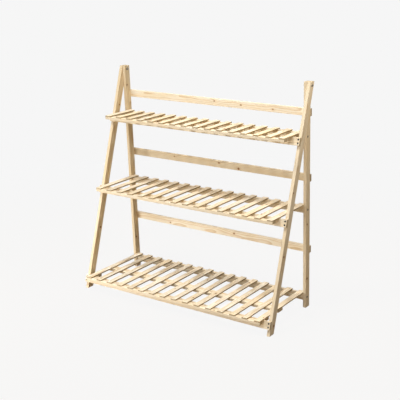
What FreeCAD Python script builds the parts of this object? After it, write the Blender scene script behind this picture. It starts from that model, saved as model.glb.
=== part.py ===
import FreeCAD, Part
import math
import os

# Folding three-tier plant stand. Millimetres. X runs along the shelves, +Y points to the
# back, Z up. It is drawn with Y = 0 at the front edge of the front feet and moved at the
# end so that the row's origin is the bottom centre of its bounding box.

# ---- driving dimensions ------------------------------------------------------------
WIDTH = 960.0            # over the outer faces of the front legs
HEIGHT = 972.0           # floor to the tops of the legs
RISE = HEIGHT / 972.0    # rail and tier heights below follow HEIGHT by this
LEG_T = 14.0             # leg thickness, along X
LEG_W = 32.0             # leg width, square to its length
FRONT_LEAN = 295.0       # how far a front leg's front edge moves back over HEIGHT
REAR_FOOT_Y = 335.4      # rear leg's front edge at the floor
REAR_LEAN = 41.4         # how far a rear leg's front edge moves forward over HEIGHT

BOARD_T = 12.0           # thickness of rails, crossbars and stop blocks
CROSSBAR_H = 33.0        # front crossbars, along the front legs
BACK_RAIL_H = 31.0       # back rails, along the rear legs
BACK_RAIL_Z = {"upper": 829.0 * RISE, "middle": 555.0 * RISE, "lower": 242.0 * RISE}

SLAT_COUNT = 16
SLAT_W = 25.6
SLAT_T = 6.0
FRONT_RAIL_T = 10.6      # flat rail under the slats' front ends
FRONT_RAIL_W = 25.0
REAR_RAIL_H = 31.0       # rail on edge under the slats' rear ends
REAR_RAIL_INSET = 1.0    # slat ends stand this far behind it
MIDDLE_RAIL_W = 37.0     # the lower tier's flat rail

# Each tier: underside of its slats, how far the slats reach ahead of the front legs, how
# far its pivot lies behind the rear legs' front edges, the gap between the crossbar's back
# face and the stop blocks, and the blocks' size front to back (None: no blocks).
TIERS = {
    "upper": {"z": 765.5 * RISE, "reach": 86.8, "pivot_in": 10.5, "stop_gap": 6.0, "stop_w": 29.0},
    "middle": {"z": 454.5 * RISE, "reach": 73.9, "pivot_in": 14.3, "stop_gap": None, "stop_w": None},
    "lower": {"z": 62.5 * RISE, "reach": 46.0, "pivot_in": 12.1, "stop_gap": 7.0, "stop_w": 22.0},
}
MIDDLE_RAIL_AT = 0.443   # its centre, as a share of the slats' length from the front
REST_GAP = 0.3           # between the slats and the crossbar's top edge

EDGE_R = 1.0             # eased long edges of every board
FOLD_BELOW_TOP = 14.0    # fold bolt's axis below the leg tops
LEG_GAP = 1.2            # between front and rear leg, filled by a washer
SHELF_GAP = 1.5          # between a shelf's ends and a rear leg, filled by a washer

FOLD_BOLT_R = 3.0
FOLD_HEAD_R = 5.6
FOLD_HEAD_H = 3.4
FOLD_WASHER_R = 7.0
FOLD_WASHER_T = 1.0
FOLD_NUT_R = 5.8         # over the nut's corners
FOLD_NUT_H = 5.0
PIVOT_R = 2.5
PIVOT_HEAD_R = 4.6
PIVOT_HEAD_H = 2.6
PIVOT_LENGTH = 48.0
SCREW_R = 1.9
SCREW_HEAD_R = 3.9
SCREW_HEAD_H = 2.4
SCREW_LENGTH = 32.0
SCREW_SPACING = 15.0     # between a joint's two screws
PIN_R = 0.7
PIN_HEAD_R = 1.3
PIN_HEAD_H = 0.7
PIN_LENGTH = 14.0
HOLE_CLEAR = 0.05        # radial clearance of every fastener in its hole
FACE_CLEAR = 0.1         # axial clearance where one piece turns beside another
RECESS_DEPTH = 1.3       # cross and hexagon recesses in the heads

# ---- sizes that follow from them ---------------------------------------------------
FRONT_ANGLE = math.atan(FRONT_LEAN / HEIGHT)
REAR_ANGLE = math.atan(REAR_LEAN / HEIGHT)
FRONT_OUT = WIDTH / 2.0
FRONT_IN = FRONT_OUT - LEG_T
REAR_OUT = FRONT_IN - LEG_GAP
REAR_IN = REAR_OUT - LEG_T
SHELF_HALF = REAR_IN - SHELF_GAP
SLAT_PITCH = (2.0 * SHELF_HALF - SLAT_W) / (SLAT_COUNT - 1)
PIVOT_INSET = REAR_RAIL_INSET + BOARD_T / 2.0
AXIS_X = FreeCAD.Vector(1, 0, 0)
ORIGIN = FreeCAD.Vector(0, 0, 0)
SIDES = (-1, 1)


def eased_box(x0, x1, y0, y1, z0, z1, along):
    """A board with its four long edges rounded; along is 0, 1 or 2 for X, Y or Z."""
    box = Part.makeBox(x1 - x0, y1 - y0, z1 - z0, FreeCAD.Vector(x0, y0, z0))
    edges = []
    for edge in box.Edges:
        tangent = edge.tangentAt(edge.FirstParameter)
        if abs(abs(tangent[along]) - 1.0) < 1e-6:
            edges.append(edge)
    return box.makeFillet(EDGE_R, edges)


def turned_x(shape, radians, y, z):
    """The shape turned about X through the origin and then moved by y and z."""
    turned = shape.copy()
    turned.rotate(ORIGIN, AXIS_X, math.degrees(radians))
    turned.translate(FreeCAD.Vector(0, y, z))
    return turned


def lean_point(angle, y, z, base_y):
    """Where a point (y, z) of a leaning board's own frame lies in the stand."""
    across = y * math.cos(angle) - z * math.sin(angle)
    height = y * math.sin(angle) + z * math.cos(angle)
    return base_y + across, height


def leg(x_low, foot_y, lean, angle):
    """One leg: a board cut level at the floor and at the top, long edges rounded."""
    depth = LEG_W / math.cos(angle)
    corners = ((foot_y, 0), (foot_y + depth, 0), (foot_y + depth + lean, HEIGHT), (foot_y + lean, HEIGHT))
    points = [FreeCAD.Vector(x_low, y, z) for y, z in corners]
    face = Part.Face(Part.makePolygon(points + [points[0]]))
    solid = face.extrude(FreeCAD.Vector(LEG_T, 0, 0))
    long_edges = [edge for edge in solid.Edges if edge.Length > HEIGHT * 0.9]
    return solid.makeFillet(EDGE_R, long_edges)


def placed(shape, point, direction):
    """The shape, drawn along +Z, put at a point with +Z turned to a direction."""
    moved = shape.copy()
    moved.Placement = FreeCAD.Placement(point, FreeCAD.Rotation(FreeCAD.Vector(0, 0, 1), direction))
    return moved


def cross_recess(head_r, depth):
    """Cutter for a cross recess in a head whose top is at Z = 0."""
    arm = head_r * 0.55
    wide = head_r * 0.2
    first = Part.makeBox(2 * arm, wide, 2 * depth, FreeCAD.Vector(-arm, -wide / 2, -depth))
    second = Part.makeBox(wide, 2 * arm, 2 * depth, FreeCAD.Vector(-wide / 2, -arm, -depth))
    return first.fuse(second)


def countersunk(head_r, head_h, shank_r, length):
    """A countersunk wood screw: head top at Z = 0, shank down to -length, cross recess."""
    tip = shank_r * 2.0
    head = Part.makeCone(shank_r, head_r, head_h - 0.4, FreeCAD.Vector(0, 0, -head_h))
    rim = Part.makeCylinder(head_r, 0.4, FreeCAD.Vector(0, 0, -0.4))
    shank = Part.makeCylinder(shank_r, length - tip - head_h, FreeCAD.Vector(0, 0, -length + tip))
    point = Part.makeCone(shank_r * 0.15, shank_r, tip, FreeCAD.Vector(0, 0, -length))
    body = head.fuse([rim, shank, point]).removeSplitter()
    return body.cut(cross_recess(head_r, RECESS_DEPTH))


def countersunk_hole(head_r, head_h, shank_r, length):
    """Cutter for a countersunk screw's hole, open above Z = 0."""
    r = shank_r + HOLE_CLEAR
    hr = head_r + HOLE_CLEAR
    rim_h = 0.4 + HOLE_CLEAR
    cone = Part.makeCone(r, hr, head_h - 0.4, FreeCAD.Vector(0, 0, -head_h - HOLE_CLEAR))
    mouth = Part.makeCylinder(hr, rim_h + 2.0, FreeCAD.Vector(0, 0, -rim_h))
    shank = Part.makeCylinder(r, length - head_h + 0.2, FreeCAD.Vector(0, 0, -length - 0.2 - HOLE_CLEAR))
    return cone.fuse([mouth, shank])


def pin():
    """A slat pin: small flat head flush with the slat, straight shank."""
    head = Part.makeCylinder(PIN_HEAD_R, PIN_HEAD_H, FreeCAD.Vector(0, 0, -PIN_HEAD_H))
    shank = Part.makeCylinder(PIN_R, PIN_LENGTH - PIN_HEAD_H, FreeCAD.Vector(0, 0, -PIN_LENGTH))
    return head.fuse(shank).removeSplitter()


def pin_hole():
    """Cutter for a slat pin's hole, open above Z = 0."""
    seat = PIN_HEAD_H + HOLE_CLEAR
    head = Part.makeCylinder(PIN_HEAD_R + HOLE_CLEAR, seat + 1.0, FreeCAD.Vector(0, 0, -seat))
    shank = Part.makeCylinder(PIN_R + HOLE_CLEAR, PIN_LENGTH, FreeCAD.Vector(0, 0, -PIN_LENGTH - 0.2))
    return head.fuse(shank)


def tube(outer_r, inner_r, x0, x1, y, z):
    """A ring whose axis is along X."""
    point = FreeCAD.Vector(x0, y, z)
    outer = Part.makeCylinder(outer_r, x1 - x0, point, AXIS_X)
    return outer.cut(Part.makeCylinder(inner_r, x1 - x0, point, AXIS_X))


def group(solids):
    """Separate solids kept together in one node."""
    return Part.makeCompound(solids)


def cut_all(shape, cutters):
    """The shape with every cutter taken away."""
    return shape.cut(list(cutters)) if cutters else shape


# ---- where the main pieces lie -----------------------------------------------------
def crossbar_low(tier):
    """Lower edge of a tier's crossbar, measured along the front leg."""
    top = (TIERS[tier]["z"] - REST_GAP - BOARD_T * math.sin(FRONT_ANGLE)) / math.cos(FRONT_ANGLE)
    return top - CROSSBAR_H


def crossbar_back_y(tier):
    """Furthest back that a tier's crossbar reaches."""
    top = crossbar_low(tier) + CROSSBAR_H
    return lean_point(-FRONT_ANGLE, 0.0, top, 0.0)[0]


def back_rail_low(name):
    """Lower edge of a back rail, measured along the rear leg."""
    return BACK_RAIL_Z[name] / math.cos(REAR_ANGLE)


def pivot_point(tier):
    """Y and Z of the axis that a shelf turns about."""
    z = TIERS[tier]["z"] - REAR_RAIL_H / 2.0
    return REAR_FOOT_Y - z * math.tan(REAR_ANGLE) + TIERS[tier]["pivot_in"], z


def slat_ends(tier):
    """Y of the front and rear ends of a tier's slats."""
    front = TIERS[tier]["z"] * math.tan(FRONT_ANGLE) - TIERS[tier]["reach"]
    return front, pivot_point(tier)[0] + PIVOT_INSET


def fold_point():
    """Y and Z of the fold bolts' axis, midway between the legs' centre lines."""
    z = HEIGHT - FOLD_BELOW_TOP
    front_centre = z * math.tan(FRONT_ANGLE) + LEG_W / math.cos(FRONT_ANGLE) / 2.0
    rear_centre = REAR_FOOT_Y - z * math.tan(REAR_ANGLE) + LEG_W / math.cos(REAR_ANGLE) / 2.0
    return (front_centre + rear_centre) / 2.0, z


def leg_screws(lows, height, angle, base_y, outward, leg_x):
    """Screw and hole solids that hold boards to leaning legs, two screws to a joint."""
    direction = FreeCAD.Vector(0, outward * math.cos(angle), outward * math.sin(angle))
    screw = countersunk(SCREW_HEAD_R, SCREW_HEAD_H, SCREW_R, SCREW_LENGTH)
    hole = countersunk_hole(SCREW_HEAD_R, SCREW_HEAD_H, SCREW_R, SCREW_LENGTH)
    screws = []
    holes = []
    for low in lows:
        for side in SIDES:
            for step in (-0.5, 0.5):
                along = low + height / 2.0 + step * SCREW_SPACING
                y, z = lean_point(angle, outward * BOARD_T, along, base_y)
                point = FreeCAD.Vector(side * leg_x, y, z)
                screws.append(placed(screw, point, direction))
                holes.append(placed(hole, point, direction))
    return screws, holes


def build_rear_frame():
    """Rear legs, back rails and their screws."""
    base_y = REAR_FOOT_Y + LEG_W / math.cos(REAR_ANGLE)
    leg_x = (REAR_OUT + REAR_IN) / 2.0
    lows = [back_rail_low(name) for name in BACK_RAIL_Z]
    screws, holes = leg_screws(lows, BACK_RAIL_H, REAR_ANGLE, base_y, 1, leg_x)
    fold_y, fold_z = fold_point()
    cutters = list(holes)
    cutters.append(Part.makeCylinder(FOLD_BOLT_R + HOLE_CLEAR, WIDTH, FreeCAD.Vector(-FRONT_OUT, fold_y, fold_z),
                                     AXIS_X))
    hole = countersunk_hole(PIVOT_HEAD_R, PIVOT_HEAD_H, PIVOT_R, PIVOT_LENGTH)
    for tier in TIERS:
        y, z = pivot_point(tier)
        for side in SIDES:
            cutters.append(placed(hole, FreeCAD.Vector(side * REAR_OUT, y, z), FreeCAD.Vector(side, 0, 0)))
    nodes = {}
    for side, word in ((-1, "left"), (1, "right")):
        x_low = REAR_IN if side > 0 else -REAR_OUT
        nodes["rear_leg_" + word] = cut_all(leg(x_low, REAR_FOOT_Y, -REAR_LEAN, REAR_ANGLE), cutters)
    for name, low in zip(BACK_RAIL_Z, lows):
        board = eased_box(-REAR_OUT, REAR_OUT, 0.0, BOARD_T, low, low + BACK_RAIL_H, 0)
        nodes["back_rail_" + name] = cut_all(turned_x(board, REAR_ANGLE, base_y, 0.0), holes)
    nodes["back_rail_screws"] = group(screws)
    return nodes


def build_front_frame():
    """Front legs, front crossbars and their screws."""
    leg_x = (FRONT_OUT + FRONT_IN) / 2.0
    lows = [crossbar_low(tier) for tier in TIERS]
    screws, holes = leg_screws(lows, CROSSBAR_H, -FRONT_ANGLE, 0.0, -1, leg_x)
    fold_y, fold_z = fold_point()
    cutters = list(holes)
    cutters.append(Part.makeCylinder(FOLD_BOLT_R + HOLE_CLEAR, WIDTH, FreeCAD.Vector(-FRONT_OUT, fold_y, fold_z),
                                     AXIS_X))
    nodes = {}
    for side, word in ((-1, "left"), (1, "right")):
        x_low = FRONT_IN if side > 0 else -FRONT_OUT
        nodes["front_leg_" + word] = cut_all(leg(x_low, 0.0, FRONT_LEAN, FRONT_ANGLE), cutters)
    for tier, low in zip(TIERS, lows):
        board = eased_box(-FRONT_OUT, FRONT_OUT, -BOARD_T, 0.0, low, low + CROSSBAR_H, 0)
        nodes["crossbar_" + tier] = cut_all(turned_x(board, -FRONT_ANGLE, 0.0, 0.0), holes)
    nodes["crossbar_screws"] = group(screws)
    return nodes


def hexagon(radius, height):
    """A hexagonal prism along +Z, radius over its corners."""
    points = []
    for step in range(7):
        turn = math.radians(60.0 * step)
        points.append(FreeCAD.Vector(radius * math.cos(turn), radius * math.sin(turn), 0))
    return Part.Face(Part.makePolygon(points)).extrude(FreeCAD.Vector(0, 0, height))


def build_fold_joint():
    """Fold bolts, nuts and washers at the top, one set on each side."""
    y, z = fold_point()
    bolts = []
    nuts = []
    washers = []
    for side in SIDES:
        outward = FreeCAD.Vector(side, 0, 0)
        head = Part.makeCylinder(FOLD_HEAD_R, FOLD_HEAD_H)
        rim = [edge for edge in head.Edges if edge.BoundBox.ZMin > FOLD_HEAD_H * 0.9]
        head = head.makeFillet(FOLD_HEAD_H * 0.55, rim)
        head = head.cut(hexagon(FOLD_HEAD_R * 0.42, 10.0).translated(FreeCAD.Vector(0, 0, FOLD_HEAD_H - RECESS_DEPTH)))
        reach = LEG_T * 2.0 + LEG_GAP + 2.0 * FACE_CLEAR + FOLD_WASHER_T + FOLD_NUT_H + 1.0
        shank = Part.makeCylinder(FOLD_BOLT_R, reach, FreeCAD.Vector(0, 0, -reach))
        bolt = head.fuse(shank).removeSplitter()
        bolts.append(placed(bolt, FreeCAD.Vector(side * (FRONT_OUT + FACE_CLEAR), y, z), outward))
        inner = REAR_IN - FOLD_WASHER_T
        nut = hexagon(FOLD_NUT_R, FOLD_NUT_H).cut(Part.makeCylinder(FOLD_BOLT_R + HOLE_CLEAR, FOLD_NUT_H))
        nuts.append(placed(nut, FreeCAD.Vector(side * inner, y, z), outward * -1.0))
        bore = FOLD_BOLT_R + HOLE_CLEAR
        spans = ((inner, REAR_IN), (REAR_OUT, REAR_OUT + FOLD_WASHER_T))
        for low, high in spans:
            x0, x1 = (low, high) if side > 0 else (-high, -low)
            washers.append(tube(FOLD_WASHER_R, bore, x0, x1, y, z))
    return {"fold_bolts": group(bolts), "fold_nuts": group(nuts), "fold_washers": group(washers)}


def build_shelf(tier):
    """One shelf: slats on rails, pivot screws at its rear ends, stop blocks where it has them."""
    data = TIERS[tier]
    z = data["z"]
    front, rear = slat_ends(tier)
    pivot_y, pivot_z = pivot_point(tier)
    rails = {
        "front_rail": eased_box(-SHELF_HALF, SHELF_HALF, front, front + FRONT_RAIL_W, z - FRONT_RAIL_T, z, 0),
        "rear_rail": eased_box(-SHELF_HALF, SHELF_HALF, pivot_y - BOARD_T / 2.0, pivot_y + BOARD_T / 2.0,
                               z - REAR_RAIL_H, z, 0),
    }
    pin_rows = {"front_rail": front + FRONT_RAIL_W / 2.0, "rear_rail": pivot_y}
    if tier == "lower":
        centre_y = front + MIDDLE_RAIL_AT * (rear - front)
        low_y = centre_y - MIDDLE_RAIL_W / 2.0
        rails["middle_rail"] = eased_box(-SHELF_HALF, SHELF_HALF, low_y, low_y + MIDDLE_RAIL_W, z - BOARD_T, z, 0)
        pin_rows["middle_rail"] = centre_y
    slat_x = [(index - (SLAT_COUNT - 1) / 2.0) * SLAT_PITCH for index in range(SLAT_COUNT)]
    pins = []
    pin_holes = []
    for x in slat_x:
        for y in pin_rows.values():
            spot = FreeCAD.Vector(x, y, z + SLAT_T)
            pins.append(pin().translated(spot))
            pin_holes.append(pin_hole().translated(spot))
    slats = []
    for index, x in enumerate(slat_x):
        slat = eased_box(x - SLAT_W / 2.0, x + SLAT_W / 2.0, front, rear, z, z + SLAT_T, 1)
        rows = len(pin_rows)
        slats.append(cut_all(slat, pin_holes[index * rows:(index + 1) * rows]))
    screws = []
    screw_holes = []
    washers = []
    for side in SIDES:
        spot = FreeCAD.Vector(side * REAR_OUT, pivot_y, pivot_z)
        outward = FreeCAD.Vector(side, 0, 0)
        screws.append(placed(countersunk(PIVOT_HEAD_R, PIVOT_HEAD_H, PIVOT_R, PIVOT_LENGTH), spot, outward))
        screw_holes.append(placed(countersunk_hole(PIVOT_HEAD_R, PIVOT_HEAD_H, PIVOT_R, PIVOT_LENGTH), spot, outward))
        low = SHELF_HALF
        high = REAR_IN - FACE_CLEAR
        x0, x1 = (low, high) if side > 0 else (-high, -low)
        washers.append(tube(PIVOT_HEAD_R, PIVOT_R + HOLE_CLEAR, x0, x1, pivot_y, pivot_z))
    nodes = {}
    for name, board in rails.items():
        cutters = pin_holes + (screw_holes if name == "rear_rail" else [])
        nodes[tier + "_" + name] = cut_all(board, cutters)
    nodes[tier + "_slats"] = group(slats)
    nodes[tier + "_slat_pins"] = group(pins)
    nodes[tier + "_pivot_screws"] = group(screws)
    nodes[tier + "_pivot_washers"] = group(washers)
    if data["stop_gap"] is not None:
        blocks = []
        low_y = crossbar_back_y(tier) + data["stop_gap"]
        for side in SIDES:
            low, high = SHELF_HALF - SLAT_W, SHELF_HALF
            x0, x1 = (low, high) if side > 0 else (-high, -low)
            blocks.append(eased_box(x0, x1, low_y, low_y + data["stop_w"], z - BOARD_T, z, 1))
        nodes[tier + "_stop_blocks"] = group(blocks)
    return nodes


def main():
    """Build every node, move the stand to its origin and write one STEP file per node."""
    nodes = build_rear_frame()
    nodes.update(build_front_frame())
    nodes.update(build_fold_joint())
    for tier in TIERS:
        nodes.update(build_shelf(tier))
    whole = Part.makeCompound(list(nodes.values())).optimalBoundingBox(True, False)
    shift = FreeCAD.Vector(0, -(whole.YMin + whole.YMax) / 2.0, 0)
    os.makedirs("parts", exist_ok=True)
    for name, shape in nodes.items():
        moved = shape.copy()
        moved.translate(shift)
        moved.exportStep(os.path.join("parts", name + ".step"))
    print("nodes", len(nodes))
    print("size %.2f %.2f %.2f" % (whole.XLength, whole.YLength, whole.ZLength))
    print("shift %.4f %.4f %.4f" % (shift.x, shift.y, shift.z))
    fold_y, fold_z = fold_point()
    print("fold axis %.4f %.4f" % (fold_y + shift.y, fold_z))
    for tier in TIERS:
        y, z = pivot_point(tier)
        front, rear = slat_ends(tier)
        print(tier, "pivot %.4f %.4f" % (y + shift.y, z), "slat top %.4f" % (TIERS[tier]["z"] + SLAT_T),
              "slats %.4f to %.4f" % (front + shift.y, rear + shift.y))


main()
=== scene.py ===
"""Looks of the folding tiered plant stand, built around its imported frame.

The stand is planed, unfinished spruce: pale cream boards with narrow darker growth rings,
small brown knots and dark countersunk screws. Every wooden node is stood for by a board
with eased edges whose grain is worked out from the board's own length, width and
thickness, so the rings on a face run on into its sawn ends.
"""

import logging
import math
import random
from dataclasses import dataclass, field
from enum import Enum

import bmesh
import bpy
from mathutils import Matrix, Vector


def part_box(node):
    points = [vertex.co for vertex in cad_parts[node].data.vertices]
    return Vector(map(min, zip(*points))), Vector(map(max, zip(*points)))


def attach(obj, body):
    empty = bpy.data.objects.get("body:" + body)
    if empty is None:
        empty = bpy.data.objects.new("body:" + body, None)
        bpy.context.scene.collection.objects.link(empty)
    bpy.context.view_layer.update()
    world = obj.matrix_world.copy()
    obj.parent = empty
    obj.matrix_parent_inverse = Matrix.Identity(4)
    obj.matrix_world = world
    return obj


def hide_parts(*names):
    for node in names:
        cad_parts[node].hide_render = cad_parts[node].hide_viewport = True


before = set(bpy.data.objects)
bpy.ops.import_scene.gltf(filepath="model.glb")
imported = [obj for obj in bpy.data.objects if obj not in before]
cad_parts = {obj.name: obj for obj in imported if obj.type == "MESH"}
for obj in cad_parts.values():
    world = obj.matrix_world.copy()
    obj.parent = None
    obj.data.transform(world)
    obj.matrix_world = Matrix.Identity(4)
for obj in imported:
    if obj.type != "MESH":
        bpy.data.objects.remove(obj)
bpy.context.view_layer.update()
LOG = logging.getLogger("plant_stand")
MM = 0.001

Triple = tuple[float, float, float]
Spots = list[tuple[Vector, Vector]]  # head places, each with the direction that the head faces
Box = tuple[Vector, Vector]

X_AXIS = Vector((1, 0, 0))
Y_AXIS = Vector((0, 1, 0))
Z_AXIS = Vector((0, 0, 1))

HEAD_GAP = 0.12 * MM  # how deep a screw's head lies under the wood, and how much wider its mouth is

MATH = "ShaderNodeMath"
VECTOR = "ShaderNodeVectorMath"
REMAP = "ShaderNodeMapRange"
MIX = "ShaderNodeMix"
NOISE = "ShaderNodeTexNoise"
ATTRIBUTE = "ShaderNodeAttribute"
SPLIT = "ShaderNodeSeparateXYZ"
JOIN = "ShaderNodeCombineXYZ"
RANDOM = "FunctionNodeRandomValue"
STORE = "GeometryNodeStoreNamedAttribute"

KNOT_LAYERS = ("knot_a", "knot_b", "knot_c")


class Tier(Enum):
    """The stand's three tiers, named as the frame's nodes are."""

    UPPER = "upper"
    MIDDLE = "middle"
    LOWER = "lower"


class Side(Enum):
    """Left and right as seen from the front."""

    LEFT = -1
    RIGHT = 1

    def at(self, x: float, y: float, z: float) -> Vector:
        """A place on this side, x from the middle."""
        return Vector((self.value * x, y, z))

    @property
    def outward(self) -> Vector:
        """Direction away from the middle."""
        return Vector((self.value, 0, 0))


def linear(hex_colour: str) -> tuple[float, float, float, float]:
    """Turns an sRGB hex colour into linear values.

    Args:
        hex_colour: The colour as "#rrggbb".

    Returns:
        Linear red, green and blue, and an alpha of 1.
    """
    parts = [int(hex_colour[i : i + 2], 16) / 255.0 for i in (1, 3, 5)]
    made = [c / 12.92 if c <= 0.04045 else ((c + 0.055) / 1.055) ** 2.4 for c in parts]
    return (made[0], made[1], made[2], 1.0)


def add_node(
    tree: bpy.types.NodeTree,
    kind: str,
    *feeds: object,
    named: dict | None = None,
    **settings: object,
) -> bpy.types.Node:
    """Adds one node with its settings and its incoming links.

    Args:
        tree: The node tree.
        kind: The node's type name.
        feeds: What its inputs take, in order: values, outputs, or nodes for their first output.
        named: The same for inputs given by name or number.
        settings: The node's properties.

    Returns:
        The new node.
    """
    node = tree.nodes.new(kind)
    for key, value in settings.items():
        setattr(node, key, value)
    for key, value in {**dict(enumerate(feeds)), **(named or {})}.items():
        if isinstance(value, bpy.types.Node):
            value = value.outputs[0]
        if isinstance(value, bpy.types.NodeSocket):
            tree.links.new(value, node.inputs[key])
        else:
            node.inputs[key].default_value = value
    return node


def open_group(
    tree: bpy.types.NodeTree, inputs: dict[str, str], outputs: dict[str, str]
) -> tuple[bpy.types.bpy_prop_collection, bpy.types.bpy_prop_collection]:
    """Gives a node group its named sockets.

    Args:
        tree: The group's tree.
        inputs: Input names with their kinds, such as Float.
        outputs: Output names with theirs.

    Returns:
        The sockets that the inputs come out of, and those that the outputs go into.
    """
    for way, names in (("INPUT", inputs), ("OUTPUT", outputs)):
        for name, kind in names.items():
            tree.interface.new_socket(name, in_out=way, socket_type="NodeSocket" + kind)
    return add_node(tree, "NodeGroupInput").outputs, add_node(tree, "NodeGroupOutput").inputs


def empty_material(name: str) -> tuple[bpy.types.Material, bpy.types.NodeTree]:
    """Makes a material without nodes and gives it with its tree."""
    material = bpy.data.materials.new(name)
    material.use_nodes = True
    material.node_tree.nodes.clear()
    return material, material.node_tree


def evaluated_mesh(obj: bpy.types.Object, name: str) -> bpy.types.Mesh:
    """Turns an object with its modifiers into a plain mesh.

    Args:
        obj: The object.
        name: Name of the new mesh.

    Returns:
        The mesh that the modifiers give.
    """
    bpy.context.view_layer.update()
    graph = bpy.context.evaluated_depsgraph_get()
    mesh = bpy.data.meshes.new_from_object(obj.evaluated_get(graph), depsgraph=graph)
    mesh.name = name
    return mesh


def poured(shape: bmesh.types.BMesh, name: str) -> bpy.types.Mesh:
    """Writes a shape under work to a new mesh and frees it."""
    mesh = bpy.data.meshes.new(name)
    shape.to_mesh(mesh)
    shape.free()
    return mesh


def linked(name: str, mesh: bpy.types.Mesh) -> bpy.types.Object:
    """Puts a mesh in the scene as an object at the origin."""
    obj = bpy.data.objects.new(name, mesh)
    bpy.context.scene.collection.objects.link(obj)
    return obj


def settle(obj: bpy.types.Object, body: str, slot: str, *nodes: str) -> None:
    """Makes a finished piece ride on its body and stand for its frame nodes.

    Args:
        obj: The piece.
        body: The body that it moves with.
        slot: The record's material slot; not used.
        nodes: The frame nodes that it stands for.
    """
    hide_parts(*nodes)
    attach(obj, body)
    LOG.info("%s: %d faces, rides on %s", obj.name, len(obj.data.polygons), body)


def box_centre(node: str) -> Vector:
    """Centre of a frame node's box."""
    low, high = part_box(node)
    return (low + high) / 2


# ---- finishes ----------------------------------------------------------------------


@dataclass(frozen=True)
class KnotField:
    """Node group that says how a knot at a given place on a board colours and bends it.

    A branch's cut is an oval of denser brown wood, and the rings bend round it. The edges
    are pairs of where an effect is nought and full, in half widths of the knot.
    """

    core_edge: tuple[float, float] = (1.38, 1.02)
    rim_edge: tuple[float, float] = (1.0, 1.22)
    halo_edge: tuple[float, float] = (1.5, 0.3)
    halo_stretch: tuple[float, float] = (0.30, 0.62)  # the halo is longer along the board
    raggedness: float = 0.5

    def group(self) -> bpy.types.NodeTree:
        """Builds the group.

        Returns:
            A tree that takes a place on the board and a knot, both in millimetres, and gives
            the shares of the knot's core, rim and halo, and by how much the rings give way.
        """
        tree = bpy.data.node_groups.new("knot_field", "ShaderNodeTree")
        start, end = open_group(
            tree,
            {"Board": "Vector", "Knot": "Vector"},
            dict.fromkeys(("Core", "Rim", "Halo", "Bend"), "Float"),
        )
        board = add_node(tree, SPLIT, start["Board"]).outputs
        knot = add_node(tree, SPLIT, start["Knot"]).outputs
        size = add_node(tree, MATH, knot[2], 0.01, operation="MAXIMUM")
        along = add_node(tree, MATH, board[0], knot[0], operation="SUBTRACT")
        across = add_node(tree, MATH, board[1], knot[1], operation="SUBTRACT")
        a = add_node(tree, MATH, along, size, operation="DIVIDE")
        w = add_node(tree, MATH, across, size, operation="DIVIDE")
        ragged = add_node(tree, NOISE, start["Board"], named={"Scale": 0.6, "Detail": 2.0})
        reach = add_node(
            tree, VECTOR, add_node(tree, JOIN, a, w), operation="LENGTH"
        ).outputs["Value"]
        uneven = add_node(tree, MATH, ragged, self.raggedness, reach, operation="MULTIPLY_ADD")
        core = add_node(tree, REMAP, uneven, *self.core_edge, 0.0, 1.0)
        inner = add_node(tree, REMAP, uneven, *self.rim_edge, 0.0, 1.0)
        rim = add_node(tree, MATH, core, inner, operation="MULTIPLY")
        long_a = add_node(tree, MATH, a, self.halo_stretch[0], operation="MULTIPLY")
        long_w = add_node(tree, MATH, w, self.halo_stretch[1], operation="MULTIPLY")
        lens = add_node(tree, JOIN, long_a, long_w)
        spread = add_node(tree, VECTOR, lens, operation="LENGTH").outputs["Value"]
        halo = add_node(
            tree, REMAP, spread, *self.halo_edge, 0.0, 1.0, interpolation_type="SMOOTHSTEP"
        )
        side = add_node(tree, MATH, across, operation="SIGN")
        push = add_node(tree, MATH, halo, size, operation="MULTIPLY")
        bend = add_node(tree, MATH, push, side, operation="MULTIPLY")
        for name, node in (("Core", core), ("Rim", rim), ("Halo", halo), ("Bend", bend)):
            tree.links.new(node.outputs[0], end[name])
        return tree


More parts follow.
